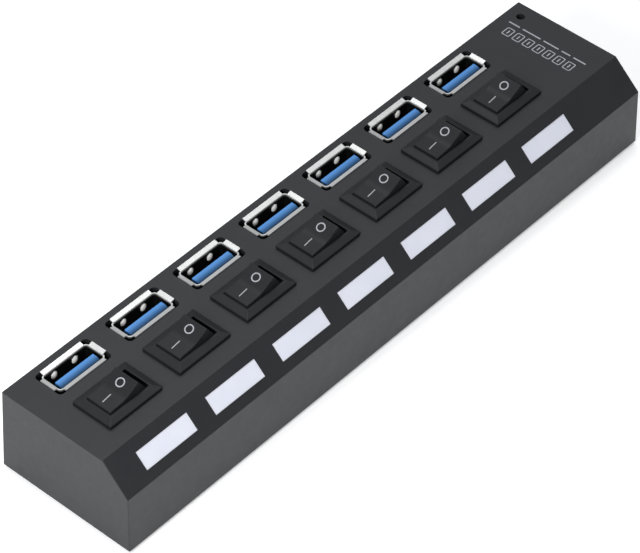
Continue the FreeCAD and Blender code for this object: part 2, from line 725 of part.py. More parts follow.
def make_usb_shell(number):
    """Folded steel socket with four flared lips and four spring bumps; z = 0 is the top face."""
    body = new_body(f"usb_shell_{number + 1}")
    metal = size["sheet_metal"]
    half_long, half_wide = size["mouth_length"] / 2, size["mouth_width"] / 2
    height = top_z - board_top
    tube = rounded_rectangle(body, "outside", "XY_Plane", (0, 0), size["mouth_length"] + 2 * metal,
                             size["mouth_width"] + 2 * metal, size["mouth_round"] + metal, -height)
    pad(body, "tube", tube, height - size["rim_drop"])
    mouth = rounded_rectangle(body, "inside", "XY_Plane", (0, 0), size["mouth_length"],
                              size["mouth_width"], size["mouth_round"])
    pocket(body, "mouth", mouth, height + OVER)

    drop, under, proud, bend = [size[f"lip_{part}"] for part in ("drop", "under", "proud", "bend")]
    for name, plane, half, length, twin in (
            ("long", "YZ_Plane", half_wide, size["lip_long"], "XZ_Plane"),
            ("short", "XZ_Plane", half_long, size["lip_short"], "YZ_Plane")):
        root, reach = half + metal, half + size["lip_reach"]
        section = [(half, -drop), (half, -bend), (half + bend, as_size(0)), (reach, proud),
                   (reach, proud - metal), (root + bend, -under), (root, -under - bend),
                   (root, -drop)]
        lip = outline(body, f"{name}_lip_section", plane, section)
        lip_pad = pad(body, f"{name}_lip", lip, length, symmetric=True)
        mirrored(body, f"{name}_lips", [lip_pad], twin)

    bumps = []
    crest_high = size["spring_crest"] / 2 - size["spring_peak"]
    crest_low = crest_high - size["spring_crest"]
    for name, side in (("back", 1), ("front", -1)):
        inner = half_wide * side
        backing = (half_wide + metal / 3) * side
        peak = (half_wide - size["spring_height"]) * side
        section = [(backing, -size["spring_top"]), (inner, -size["spring_top"]), (peak, crest_high),
                   (peak, crest_low), (inner, -size["spring_low"]), (backing, -size["spring_low"])]
        spring = outline(body, f"{name}_spring_section", "YZ_Plane", section, size["spring_x"])
        bumps.append(pad(body, f"{name}_spring", spring, size["spring_width"], symmetric=True))
    mirrored(body, "springs", bumps, "YZ_Plane")
    place(body, (station_x(number), size["port_y"], top_z))


def make_usb_insulator(number):
    """Blue moulding: a block at the bottom of the socket that carries the contact tongue."""
    body = new_body(f"usb_insulator_{number + 1}")
    height = top_z - board_top
    base = rectangle(body, "base_plan", "XY_Plane", (0, 0), size["mouth_length"] - size["gap"],
                     size["mouth_width"] - size["gap"], -height)
    block_pad = pad(body, "base", base, size["insulator_base"])
    round_edges(body, "base_corners", block_pad, size["mouth_round"],
                lambda middle, run: abs(run.z) > NEAR)
    front = size["tongue_gap"] - size["mouth_width"] / 2
    back = front + size["tongue_thick"]
    tip, root = -size["tongue_depth"], size["insulator_base"] - height - size["tongue_root"]
    bevel = size["tongue_bevel"]
    tongue = outline(body, "tongue_section", "YZ_Plane", [
        (front, root), (back, root), (back, tip), (front + bevel, tip), (front, tip - bevel / 2)])
    body.Tip = pad(body, "tongue", tongue, size["tongue_length"], symmetric=True)
    place(body, (station_x(number), size["port_y"], top_z))


def make_port_contacts():
    """Four long springs and five short pads on the back of every tongue."""
    back = size["port_y"] - size["mouth_width"] / 2 + size["tongue_gap"] + size["tongue_thick"]
    y = back + size["contact_thick"] / 2
    tip_z = top_z - size["tongue_depth"]
    rows = [("spring", (-3.5, -1.0, 1.0, 3.5), board_top + size["insulator_base"]),
            ("pad", (-4.0, -2.0, 0.0, 2.0, 4.0),
             tip_z - size["pad_contact_inset"] - size["pad_contact_length"])]
    strips = []
    for number in STATIONS:
        for kind, offsets, low in rows:
            for index, offset in enumerate(offsets):
                strips.append(block(f"{kind}_contact_{number + 1}_{index}",
                                    (station_x(number) + offset, y), low,
                                    size[f"{kind}_contact_width"], size["contact_thick"],
                                    size[f"{kind}_contact_length"]))
    keep("port_contacts", group("port_contacts", strips))


# ---------------------------------------------------------------- rocker switches

def make_switch_body(number):
    """Bezel and housing of one switch; z = 0 is the casing's top face."""
    body = new_body(f"switch_body_{number + 1}")
    foot = rectangle(body, "foot_plan", "XY_Plane", (0, 0),
                     size["bezel_length"] - 2 * size["bezel_inset"],
                     size["bezel_width"] - 2 * size["bezel_inset"])
    pad(body, "foot", foot, size["bezel_gap"])
    bezel = rectangle(body, "bezel_plan", "XY_Plane", (0, 0), size["bezel_length"],
                      size["bezel_width"], size["bezel_gap"])
    pad(body, "bezel", bezel, size["bezel_wall"] - size["bezel_gap"])
    upper = rectangle(body, "slope_plan", "XY_Plane", (0, 0), size["bezel_length"],
                      size["bezel_width"], size["bezel_wall"])
    slope = pad(body, "bezel_slope", upper, size["bezel_rise"],
                taper=-arctan(size["bezel_slope"] / size["bezel_rise"]))
    round_edges(body, "bezel_edges", slope, size["bezel_round"],
                lambda middle, run: middle.z > size["bezel_gap"].value + NEAR)
    housing = rectangle(body, "housing_plan", "XY_Plane", (0, 0), size["switch_length"],
                        size["switch_width"], -size["switch_depth"])
    pad(body, "housing", housing, size["switch_depth"] + size["bezel_wall"] / 2)
    rim = size["bezel_wall"] + size["bezel_rise"]
    well = rectangle(body, "well_plan", "XY_Plane", (0, 0), size["rocker_well_length"],
                     size["rocker_well_width"], rim)
    pocket(body, "well", well, rim + size["switch_depth"] - size["switch_floor"])
    pivot = circles(body, "pivot_section", "XZ_Plane", [(0, rim - size["rocker_rim"])],
                    size["pivot_radius"] + size["pivot_clearance"])
    pocket(body, "pivot_holes", pivot,
           size["rocker_width"] + 2 * size["pivot_length"] + 4 * size["pivot_clearance"],
           symmetric=True)
    for name, offset in (("middle", as_size(0)), ("side", size["terminal_x"])):
        slot = rectangle(body, f"{name}_slot", "XY_Plane", (offset, 0),
                         size["terminal_thick"] + size["floor_slot_play"],
                         size["terminal_width"] + size["floor_slot_play"], -size["switch_depth"])
        body.Tip = pocket(body, f"{name}_terminal_slot", slot, size["switch_floor"] + OVER,
                          reverse=True)
    place(body, (switch_x(number), size["switch_y"], top_z))


def make_rocker(number):
    """Rocker about its pivot, drawn level and then tipped with its far end up."""
    body = new_body(f"rocker_{number + 1}")
    turn_sine, turn_cosine = sine(size["rock_angle"]), cosine(size["rock_angle"])
    half, skirt = size["rocker_half"], size["rocker_skirt"]

    def levelled(u, v):
        """A point of the end that is pressed in, turned back to the level rocker."""
        return u * turn_cosine - v * turn_sine, u * turn_sine + v * turn_cosine

    crest = levelled(half, size["rocker_rim"] + size["rocker_proud"])
    heel = levelled(half, -skirt)
    toe = levelled(half - size["rocker_toe_in"], -skirt - size["rocker_toe"])
    keel = (size["keel_half"], -size["rocker_keel"])
    face = size["rocker_face"]
    valley = (as_size(0), crest[1] - crest[0] * sine(face) / cosine(face))
    right = [crest, heel, toe, keel]
    left = [(-u, v) for u, v in reversed(right)]
    profile = outline(body, "section", "XZ_Plane", [valley] + right + left)
    key = pad(body, "key", profile, size["rocker_width"], symmetric=True)
    upper = heel[1].value + NEAR
    dished = round_edges(body, "valley", key, size["rocker_valley"],
                         lambda middle, run: abs(middle.x) < NEAR and middle.z > upper
                         and abs(run.y) > NEAR)
    round_edges(body, "key_edges", dished, size["rocker_round"],
                lambda middle, run: middle.z > upper and (abs(middle.x) > half.value / 2
                                                          or abs(run.y) < NEAR))
    pins = circles(body, "pin_section", "XZ_Plane", [(0, 0)], size["pivot_radius"])
    pad(body, "pins", pins, size["rocker_width"] + 2 * size["pivot_length"], symmetric=True)
    bore = circles(body, "bore_plan", "XY_Plane", [(0, 0)],
                   size["plunger_radius"] + size["plunger_fit"], -size["rocker_keel"])
    body.Tip = pocket(body, "plunger_bore", bore, size["rocker_keel"] - size["plunger_bore"],
                      reverse=True)
    place(body, (switch_x(number), size["switch_y"], pivot_z), Vector(0, 1, 0), -size["rock_angle"])


def make_plunger(number):
    """Round-nosed pin under the rocker that tips the contact lever."""
    radius, reach = size["plunger_radius"], size["plunger_reach"]
    name = f"switch_plunger_{number + 1}"
    shank = rod(f"{name}_shank", (as_size(0), as_size(0), radius - reach), radius,
                reach - radius - size["plunger_top"])
    nose = ball(f"{name}_nose", (as_size(0), as_size(0), radius - reach), radius)
    plunger = keep(name, fuse(name, shank, nose))
    place(plunger, (switch_x(number), size["switch_y"], pivot_z), Vector(0, 1, 0),
          -size["rock_angle"])


def make_lever(number):
    """Brass see-saw that closes the circuit at the side terminal."""
    body = new_body(f"switch_lever_{number + 1}")
    plan = rectangle(body, "plan", "XY_Plane", (0, 0), size["lever_length"], size["lever_width"],
                     size["lever_lift"])
    pad(body, "plate", plan, size["lever_thick"])
    bead = circles(body, "bead_section", "XZ_Plane", [(0, 0)], size["lever_bead"])
    body.Tip = pad(body, "bead", bead, size["lever_width"], symmetric=True)
    place(body, (switch_x(number), size["switch_y"], pivot_z - size["lever_pivot"]),
          Vector(0, 1, 0), size["lever_angle"])


def make_terminals():
    """Middle and side blades of every switch, soldered into the board."""
    low = board_z - size["terminal_tail"]
    lever_z = pivot_z - size["lever_pivot"]
    tilt_sine, tilt_cosine = sine(size["lever_angle"]), cosine(size["lever_angle"])
    side_drop = ((size["terminal_x"] + size["terminal_thick"]) * tilt_sine / tilt_cosine
                 - size["lever_lift"] / tilt_cosine + size["terminal_play"])
    blades = []
    for number in STATIONS:
        for name, offset, top in (
                ("middle", as_size(0), lever_z - size["lever_bead"] - size["terminal_play"]),
                ("side", size["terminal_x"], lever_z - side_drop)):
            blades.append(block(f"{name}_terminal_{number + 1}",
                                (switch_x(number) + offset, size["switch_y"]), low,
                                size["terminal_thick"], size["terminal_width"], top - low))
    keep("switch_terminals", group("switch_terminals", blades))


# ---------------------------------------------------------------- cable end

def end_block(name, front, depth, middle_y, middle_z, width, height):
    """A box that reaches back from the x of its front face."""
    return block(name, (front - depth / 2, middle_y), middle_z - height / 2, depth, width, height)


def make_upstream_socket():
    """Type-B socket with its extra upper row, lying on the board at the end wall."""
    metal, margin = size["sheet_metal"], size["gap"] / 2
    y, middle_z = size["upstream_y"], board_top + size["upstream_height"] / 2
    width, height, depth = size["upstream_width"], size["upstream_height"], size["upstream_depth"]
    can = end_block("upstream_can", mouth_x, depth, y, middle_z, width, height)
    room = end_block("upstream_room", mouth_x + 1, depth + 1 - metal, y, middle_z,
                     width - 2 * metal, height - 2 * metal)
    keep("upstream_socket_shell", cut("upstream_socket_shell", can, room))

    core_width, core_height = [extent - 2 * metal - 2 * margin for extent in (width, height)]
    core = end_block("upstream_core", mouth_x - size["insert_set_back"],
                     depth - metal - 1.5 * size["insert_set_back"], y, middle_z, core_width,
                     core_height)
    low_z = middle_z - core_height / 2 + size["insert_floor"]
    low_height, high_height = size["low_well_height"], size["high_well_height"]
    low_mid = low_z + low_height / 2
    high_mid = low_z + low_height + high_height * size["high_tongue_place"]
    low_well = end_block("upstream_low_well", mouth_x, size["plug_depth"], y, low_mid,
                         size["low_well_width"], low_height)
    high_well = end_block("upstream_high_well", mouth_x, size["plug_depth"], y,
                          low_z + low_height + high_height / 2 - margin, size["high_well_width"],
                          high_height)
    tip_x = mouth_x - size["tongue_set_back"]
    low_tongue = end_block("upstream_low_tongue", tip_x, size["plug_depth"], y, low_mid,
                           size["low_tongue_width"], size["low_tongue_height"])
    high_tongue = end_block("upstream_high_tongue", tip_x, size["plug_depth"], y, high_mid,
                            size["high_tongue_width"], size["high_tongue_height"])
    opened = cut("upstream_opened", core, fuse("upstream_wells", low_well, high_well))
    keep("upstream_socket_insert", fuse("upstream_socket_insert", opened, low_tongue, high_tongue))

    thick, reach = size["contact_thick"], size["upstream_strip_length"]
    front = mouth_x - size["strip_set_back"]
    strips = []
    for column in (-0.5, 0.5):
        for side in (-1, 1):
            z = low_mid + side * (size["low_tongue_height"] + thick) / 2
            strips.append(end_block(f"upstream_strip_{len(strips) + 1}", front, reach,
                                    y + column * size["upstream_strip_pitch"], z,
                                    size["upstream_strip_width"], thick))
    for column in (-2, -1, 0, 1, 2):
        z = high_mid + (size["high_tongue_height"] + thick) / 2
        strips.append(end_block(f"upstream_strip_{len(strips) + 1}", front, reach,
                                y + column * size["fine_strip_pitch"], z,
                                size["fine_strip_width"], thick))
    keep("upstream_contacts", group("upstream_contacts", strips))


def make_power_inlet():
    """Barrel jack behind the end wall, and its centre pin."""
    front = end_wall_x - size["gap"]
    middle_z = board_top + size["jack_axis"]
    y, axis = size["jack_y"], Vector(0, 1, 0)
    body = end_block("jack_block", front, size["jack_depth"], y, board_top + size["jack_height"] / 2,
                     size["jack_width"], size["jack_height"])
    bore_low = front - size["plug_depth"]
    bore = rod("jack_bore", (bore_low, y, middle_z), size["jack_bore"], size["plug_depth"] + OVER,
               axis, 90.0)
    play, root_length = size["jack_play"], size["jack_root_length"]
    seat = rod("jack_pin_seat", (bore_low - root_length - play, y, middle_z),
               size["jack_root"] + play, root_length + OVER, axis, 90.0)
    keep("power_jack_body", cut("power_jack_body", body, fuse("jack_hollows", bore, seat)))
    root = rod("jack_pin_root", (bore_low - root_length, y, middle_z), size["jack_root"],
               root_length + OVER, axis, 90.0)
    stem_length = size["plug_depth"] - size["jack_pin"]
    stem = rod("jack_pin_stem", (bore_low + play, y, middle_z), size["jack_pin"], stem_length, axis,
               90.0)
    nose = ball("jack_pin_nose", (bore_low + play + stem_length, y, middle_z), size["jack_pin"])
    keep("power_jack_pin", fuse("power_jack_pin", root, stem, nose))


# ---------------------------------------------------------------- build, check and write

def make_all():
    make_top_shell()
    make_bottom_cover()
    make_feet()
    make_screws()
    make_board()
    make_board_parts()
    make_window_strip()
    make_port_contacts()
    make_terminals()
    make_upstream_socket()
    make_power_inlet()
    for number in STATIONS:
        make_usb_shell(number)
        make_usb_insulator(number)
        make_switch_body(number)
        make_rocker(number)
        make_plunger(number)
        make_lever(number)
    doc.recompute()


def check_all():
    """Stop when any object failed to recompute, or any sub-part has no valid solid."""
    failed = [obj.Name for obj in doc.Objects if {"Invalid", "Error"} & set(obj.State)]
    unsound = [name for name, obj in nodes.items()
               if obj.Shape.isNull() or not obj.Shape.isValid() or not obj.Shape.Solids]
    if failed or unsound:
        raise RuntimeError(f"failed objects {failed}, unsound sub-parts {unsound}")


def write_all():
    os.makedirs("parts", exist_ok=True)
    for name, obj in nodes.items():
        obj.Shape.exportStep(f"parts/{name}.step")
        print(f"{name:24s} {len(obj.Shape.Solids):3d} solids {obj.Shape.Volume:10.2f} mm3")


make_all()
check_all()
write_all()
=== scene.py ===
import json
import math

import bmesh
import bpy
from mathutils import Matrix, Vector
from mathutils.bvhtree import BVHTree


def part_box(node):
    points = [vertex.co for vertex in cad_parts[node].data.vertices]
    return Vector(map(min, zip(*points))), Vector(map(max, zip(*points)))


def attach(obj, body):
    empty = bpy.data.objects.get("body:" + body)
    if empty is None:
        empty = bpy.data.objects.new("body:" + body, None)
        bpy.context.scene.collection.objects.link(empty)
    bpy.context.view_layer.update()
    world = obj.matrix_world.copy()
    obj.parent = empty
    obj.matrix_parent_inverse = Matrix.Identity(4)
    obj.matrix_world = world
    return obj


# Looks of the seven-port USB hub. Metres, in the row frame of the CAD part: X along the hub,
# the sloping window face towards -Y, Z up, the origin under the feet.

MM = 0.001
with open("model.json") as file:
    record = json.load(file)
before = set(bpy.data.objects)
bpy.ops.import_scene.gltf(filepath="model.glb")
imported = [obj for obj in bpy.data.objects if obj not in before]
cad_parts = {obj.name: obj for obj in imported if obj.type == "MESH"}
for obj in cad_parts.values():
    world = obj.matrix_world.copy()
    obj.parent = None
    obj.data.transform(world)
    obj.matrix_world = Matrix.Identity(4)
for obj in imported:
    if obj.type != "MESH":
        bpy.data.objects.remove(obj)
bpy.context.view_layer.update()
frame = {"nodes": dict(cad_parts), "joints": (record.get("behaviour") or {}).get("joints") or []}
nodes = frame["nodes"]
scene = bpy.context.scene

STATIONS = range(1, 1 + sum(name.startswith("rocker_") for name in nodes))
SHELL_LOW, SHELL_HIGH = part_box("top_shell")
SOCKET_Y = sum(corner.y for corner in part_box("usb_shell_1")) / 2
HINGES = {joint["child"]: joint for joint in frame["joints"]}


# ---------------------------------------------------------------- camera, lights and floor

def make_camera():
    """A long lens that looks down on the near end of the hub from the window side."""
    aim, distance = Vector((-0.01445, -0.00804, 0.0218)), 0.71053
    azimuth, elevation, roll = math.radians(49.428), math.radians(44.418), math.radians(1.145)
    data = bpy.data.cameras.new("camera")
    data.sensor_width = 36.0
    data.lens = 194.56
    data.clip_start = 0.05
    camera = bpy.data.objects.new("camera", data)
    scene.collection.objects.link(camera)
    turn = (Matrix.Rotation(-azimuth, 4, "Z") @ Matrix.Rotation(math.pi / 2 - elevation, 4, "X")
            @ Matrix.Rotation(roll, 4, "Z"))
    camera.matrix_world = Matrix.Translation(aim + turn @ Vector((0, 0, distance))) @ turn
    scene.camera = camera


def area_light(name, place, target, size, power):
    data = bpy.data.lights.new(name, "AREA")
    data.shape = "RECTANGLE"
    data.size, data.size_y = size
    data.energy = power
    light = bpy.data.objects.new(name, data)
    scene.collection.objects.link(light)
    light.location = place
    light.rotation_euler = (Vector(target) - Vector(place)).to_track_quat("-Z", "Y").to_euler()


def make_sky(front, back, horizon):
    """A dim surround, darker towards the window side of the hub and towards the horizon."""
    world = bpy.data.worlds.new("studio")
    world.use_nodes = True
    tree = world.node_tree
    place = tree.nodes.new("ShaderNodeTexCoord")
    parts = tree.nodes.new("ShaderNodeSeparateXYZ")
    tree.links.new(place.outputs["Generated"], parts.inputs["Vector"])
    strength = tree.nodes.new("ShaderNodeMath")
    strength.operation = "MULTIPLY"
    tree.links.new(ranged(tree, parts.outputs["Y"], front, back, -0.6, 0.6), strength.inputs[0])
    tree.links.new(ranged(tree, parts.outputs["Z"], horizon, 1.0, 0.1, 0.7), strength.inputs[1])
    background = tree.nodes["Background"]
    background.inputs["Color"].default_value = (0.90, 0.94, 1.0, 1.0)
    tree.links.new(strength.outputs["Value"], background.inputs["Strength"])
    scene.world = world


def make_studio():
    scene.view_settings.view_transform = "Standard"
    make_sky(0.20, 0.50, 0.45)
    area_light("top_box", (0.14, 0.12, 0.93), (0.0, 0.0, 0.0), (0.4, 0.4), 3.65)
    area_light("end_box", (-0.45, -0.12, 0.30), (-0.09, 0.0, 0.0), (0.2, 0.2), 2.0)


def make_floor():
    half = 1.5
    mesh = bpy.data.meshes.new("floor")
    mesh.from_pydata([(-half, -half, 0), (half, -half, 0), (half, half, 0), (-half, half, 0)], [],
                     [(0, 1, 2, 3)])
    floor = bpy.data.objects.new("floor", mesh)
    scene.collection.objects.link(floor)
    material, shader, _ = new_material("floor_paper")
    shader.inputs["Base Color"].default_value = (0.92, 0.92, 0.92, 1)
    shader.inputs["Roughness"].default_value = 0.9
    shader.inputs["Emission Color"].default_value = (1, 1, 1, 1)
    shader.inputs["Emission Strength"].default_value = 0.35
    mesh.materials.append(material)


# ---------------------------------------------------------------- materials

COLOUR_A, COLOUR_B, COLOUR_OUT = 6, 7, 2     # colour sockets of a Mix node


def new_material(name):
    material = bpy.data.materials.new(name)
    material.use_nodes = True
    tree = material.node_tree
    return material, tree.nodes["Principled BSDF"], tree


def noise(tree, scale, detail=2.0, stretch=None, distortion=0.0):
    """Noise in the frame's own metres; scale is features per metre."""
    place = tree.nodes.new("ShaderNodeTexCoord")
    texture = tree.nodes.new("ShaderNodeTexNoise")
    texture.inputs["Scale"].default_value = scale
    texture.inputs["Detail"].default_value = detail
    texture.inputs["Distortion"].default_value = distortion
    source = place.outputs["Object"]
    if stretch is not None:
        mapping = tree.nodes.new("ShaderNodeMapping")
        mapping.inputs["Scale"].default_value = stretch
        tree.links.new(source, mapping.inputs["Vector"])
        source = mapping.outputs["Vector"]
    tree.links.new(source, texture.inputs["Vector"])
    return texture.outputs["Fac"]


def ranged(tree, value, low, high, start=0.3, end=0.7):
    """Stretch a noise value to the range low to high."""
    remap = tree.nodes.new("ShaderNodeMapRange")
    remap.inputs["From Min"].default_value = start
    remap.inputs["From Max"].default_value = end
    remap.inputs["To Min"].default_value = low
    remap.inputs["To Max"].default_value = high
    tree.links.new(value, remap.inputs["Value"])
    return remap.outputs["Result"]


def mix_node(tree, factor):
    mix = tree.nodes.new("ShaderNodeMix")
    mix.data_type = "RGBA"
    tree.links.new(factor, mix.inputs["Factor"])
    return mix


def blend_colours(tree, factor, first, second):
    """Mix two plain colours by a factor from 0 to 1."""
    mix = mix_node(tree, factor)
    mix.inputs[COLOUR_A].default_value = (*first, 1)
    mix.inputs[COLOUR_B].default_value = (*second, 1)
    return mix.outputs[COLOUR_OUT]


def bump(tree, shader, height, strength, distance):
    node = tree.nodes.new("ShaderNodeBump")
    node.inputs["Strength"].default_value = strength
    node.inputs["Distance"].default_value = distance
    tree.links.new(height, node.inputs["Height"])
    tree.links.new(node.outputs["Normal"], shader.inputs["Normal"])


def moulded_plastic(name, dark, light, roughness, grain, depth, specular=0.5):
    """Moulded plastic: slow tone change, uneven sheen and a fine spark-eroded grain."""
    material, shader, tree = new_material(name)
    tone = ranged(tree, noise(tree, 90.0, 4.0), 0.0, 1.0)
    tree.links.new(blend_colours(tree, tone, dark, light), shader.inputs["Base Color"])
    sheen = ranged(tree, noise(tree, 600.0, 3.0), roughness - 0.03, roughness + 0.03)
    tree.links.new(sheen, shader.inputs["Roughness"])
    shader.inputs["Specular IOR Level"].default_value = specular
    bump(tree, shader, noise(tree, grain, 3.0), 0.6, depth)
    return material


def plated_metal(name, colour, roughness, scratch=(1.0, 1.0, 9.0), metallic=1.0):
    """Plated sheet with faint drawing lines."""
    material, shader, tree = new_material(name)
    tone = ranged(tree, noise(tree, 400.0, 3.0), 0.0, 1.0)
    tree.links.new(blend_colours(tree, tone, [c * 0.93 for c in colour], colour),
                   shader.inputs["Base Color"])
    shader.inputs["Metallic"].default_value = metallic
    lines = noise(tree, 1500.0, 2.0, scratch)
    tree.links.new(ranged(tree, lines, roughness - 0.06, roughness + 0.08),
                   shader.inputs["Roughness"])
    bump(tree, shader, lines, 0.25, 0.00001)
    return material


def place_factor(tree, axis, low, high):
    """0 below one place along an axis of the object and 1 above another."""
    place = tree.nodes.new("ShaderNodeTexCoord")
    parts = tree.nodes.new("ShaderNodeSeparateXYZ")
    tree.links.new(place.outputs["Object"], parts.inputs["Vector"])
    return ranged(tree, parts.outputs[axis], 0.0, 1.0, low, high)


def paint_shade(tree, shader, factor, shade_colour):
    """Paint shade: blend the shader's colour to a dark shade colour where the factor is 0."""
    bright = shader.inputs["Base Color"].links[0].from_socket
    mix = mix_node(tree, factor)
    mix.inputs[COLOUR_A].default_value = (*shade_colour, 1)
    tree.links.new(bright, mix.inputs[COLOUR_B])
    tree.links.new(mix.outputs[COLOUR_OUT], shader.inputs["Base Color"])


def socket_plating(name, mouth_z):
    """Tin plating, bright and partly diffuse on the flared mouth; below it the colour is painted
    dark as the shade down the socket.
    """
    material = plated_metal(name, (0.77, 0.77, 0.755), 0.4)
    tree = material.node_tree
    shader = tree.nodes["Principled BSDF"]
    # Painted shade: below the flared mouth the tin is coloured near black, standing in for the
    # shade deep inside the socket.
    mouth = place_factor(tree, "Z", mouth_z - 0.75 * MM, mouth_z - 0.1 * MM)
    paint_shade(tree, shader, mouth, (0.07, 0.07, 0.075))
    tree.links.new(ranged(tree, mouth, 1.0, 0.6, 0.0, 1.0), shader.inputs["Metallic"])
    return material


def insulator_plastic(name, mouth_z, middle_y):
    """Blue moulding; painted shade darkens the tongue's bevel side and the part that sinks into the
    socket, leaving its tip clear blue.
    """
    material = moulded_plastic(name, (0.075, 0.26, 0.62), (0.095, 0.30, 0.70), 0.3, 3500.0, 0.00001)
    tree = material.node_tree
    shader = tree.nodes["Principled BSDF"]
    # Painted shade on the bevel side of the tongue, towards -Y.
    bevel_shade_mask = place_factor(tree, "Y", middle_y - 2.1 * MM, middle_y - 0.5 * MM)
    paint_shade(tree, shader, bevel_shade_mask, (0.008, 0.045, 0.11))
    # Painted shade deeper down the tongue, where it sinks into the socket.
    depth_shade_mask = place_factor(tree, "Z", mouth_z - 1.3 * MM, mouth_z - 0.4 * MM)
    paint_shade(tree, shader, depth_shade_mask, (0.006, 0.02, 0.05))
    return material


def milky_plastic(name):
    """Light-guide plastic that scatters a little light below its surface."""
    material, shader, tree = new_material(name)
    tone = ranged(tree, noise(tree, 120.0, 3.0), 0.0, 1.0)
    tree.links.new(blend_colours(tree, tone, (0.78, 0.80, 0.90), (0.82, 0.84, 0.93)),
                   shader.inputs["Base Color"])
    tree.links.new(ranged(tree, noise(tree, 500.0), 0.3, 0.42), shader.inputs["Roughness"])
    shader.inputs["Subsurface Weight"].default_value = 0.25
    shader.inputs["Subsurface Radius"].default_value = (0.0012, 0.0012, 0.0014)
    shader.inputs["Subsurface Scale"].default_value = 1.0
    bump(tree, shader, noise(tree, 2500.0), 0.2, 0.00001)
    return material


def circuit_laminate(name):
    """Solder resist with faint tracks of copper under it."""
    material, shader, tree = new_material(name)
    tracks = ranged(tree, noise(tree, 300.0, 0.0, (1.0, 6.0, 1.0)), 0.0, 1.0, 0.48, 0.52)
    tree.links.new(blend_colours(tree, tracks, (0.01, 0.07, 0.03), (0.03, 0.15, 0.06)),
                   shader.inputs["Base Color"])
    tree.links.new(ranged(tree, noise(tree, 900.0), 0.25, 0.4), shader.inputs["Roughness"])
    bump(tree, shader, tracks, 0.3, 0.00003)
    return material


def printed_ink(name, colour):
    """Pad-printed ink, thin in places."""
    material, shader, tree = new_material(name)
    cover = ranged(tree, noise(tree, 2500.0, 3.0), 0.0, 1.0, 0.25, 0.6)
    tree.links.new(blend_colours(tree, cover, [c * 0.75 for c in colour], colour),
                   shader.inputs["Base Color"])
    tree.links.new(ranged(tree, noise(tree, 900.0), 0.5, 0.7), shader.inputs["Roughness"])
    return material


def make_materials():
    return {
        "casing": moulded_plastic("casing_plastic", (0.0175, 0.0183, 0.0208),
                                  (0.0205, 0.0213, 0.0238), 0.5, 5200.0, 0.00005),
        "switch": moulded_plastic("switch_plastic", (0.014, 0.0145, 0.016), (0.018, 0.0185, 0.020),
                                  0.45, 7000.0, 0.00002, 0.26),
        "rubber": moulded_plastic("foot_rubber", (0.012, 0.012, 0.012), (0.02, 0.02, 0.02),
                                  0.85, 3000.0, 0.00006, 0.3),
        "chip": moulded_plastic("chip_epoxy", (0.012, 0.012, 0.013), (0.018, 0.018, 0.019),
                                0.6, 4000.0, 0.00003),
        "tongue": insulator_plastic("insulator_blue", SHELL_HIGH.z, SOCKET_Y),
        "blue": moulded_plastic("insert_blue", (0.06, 0.22, 0.46), (0.08, 0.27, 0.54),
                                0.3, 3500.0, 0.00001),
        "lamp": moulded_plastic("lamp_epoxy", (0.75, 0.74, 0.62), (0.85, 0.84, 0.74),
                                0.25, 2000.0, 0.00001),
        "milky": milky_plastic("window_milky"),
        # Painted shade: the status light pipe is coloured near black, standing in for the shade in
        # its recessed hole.
        "pipe_shade": moulded_plastic("pipe_painted_shade", (0.012, 0.012, 0.014), (0.02, 0.02, 0.023),
                                  0.2, 1500.0, 0.00001),
        "board": circuit_laminate("board_laminate"),
        "socket": socket_plating("socket_tin", SHELL_HIGH.z),
        "plating": plated_metal("socket_nickel", (0.86, 0.87, 0.88), 0.24),
        # Bright tin with a painted highlight: near white and almost non-metallic, so the springs
        # show bright deep in the socket.
        "spring": plated_metal("spring_tin_painted_highlight", (0.97, 0.97, 0.94), 0.42, metallic=0.1),
        "steel": plated_metal("screw_zinc", (0.55, 0.56, 0.58), 0.35),
        "can": plated_metal("can_aluminium", (0.80, 0.81, 0.82), 0.3),
        "gold": plated_metal("contact_gold", (0.87, 0.66, 0.30), 0.22),
        "ink": printed_ink("print_ink", (0.42, 0.43, 0.46)),
    }


FINISHES = {
    "top_shell": "casing", "bottom_cover": "casing", "case_screws": "steel",
    "rubber_feet": "rubber", "circuit_board": "board", "hub_chips": "chip",
    "capacitors": "can", "indicator_leds": "lamp", "status_light_pipe": "pipe_shade",
    "window_strip": "milky", "port_contacts": "gold", "switch_terminals": "gold",
    "upstream_socket_shell": "plating", "upstream_socket_insert": "blue",
    "upstream_contacts": "gold", "power_jack_body": "switch", "power_jack_pin": "plating",
    "usb_shell": "socket", "usb_insulator": "tongue", "switch_body": "switch", "rocker": "switch",
    "switch_plunger": "gold", "switch_lever": "gold",
}


def dress_frame(materials):
    """Give every CAD node its procedural material."""
    for name, node in nodes.items():
        family = name.rstrip("0123456789").rstrip("_") if name[-1].isdigit() else name
        node.data.materials.clear()
        node.data.materials.append(materials[FINISHES[family]])


# ---------------------------------------------------------------- printed marks

class Skin:
    """The outer surface of a CAD node, for laying print and small pieces on it."""

    def __init__(self, name):
        mesh = nodes[name].data
        self.tree = BVHTree.FromPolygons([vertex.co for vertex in mesh.vertices],
                                         [face.vertices for face in mesh.polygons])

    def below(self, x, y):
        """Point and normal of the surface straight below the sky at x, y."""
        point, normal, _, _ = self.tree.ray_cast(Vector((x, y, 1.0)), Vector((0, 0, -1)))
        return point, normal

    def patch(self, x, y):
        """A plane that touches the surface at x, y: its U runs along X, its V along Y."""
        point, normal = self.below(x, y)
        across = normal.cross(Vector((1, 0, 0))).normalized()
        along = across.cross(normal)
        return Matrix.Translation(point) @ Matrix((along, across, normal)).transposed().to_4x4()

    def lift(self, patch, u, v, height):
        """The point over u, v of a patch, at a height above the surface."""
        normal = patch.to_3x3() @ Vector((0, 0, 1))
        start = patch @ Vector((u, v, 0)) + normal * MM
        point, _, _, _ = self.tree.ray_cast(start, -normal)
        return point + normal * height


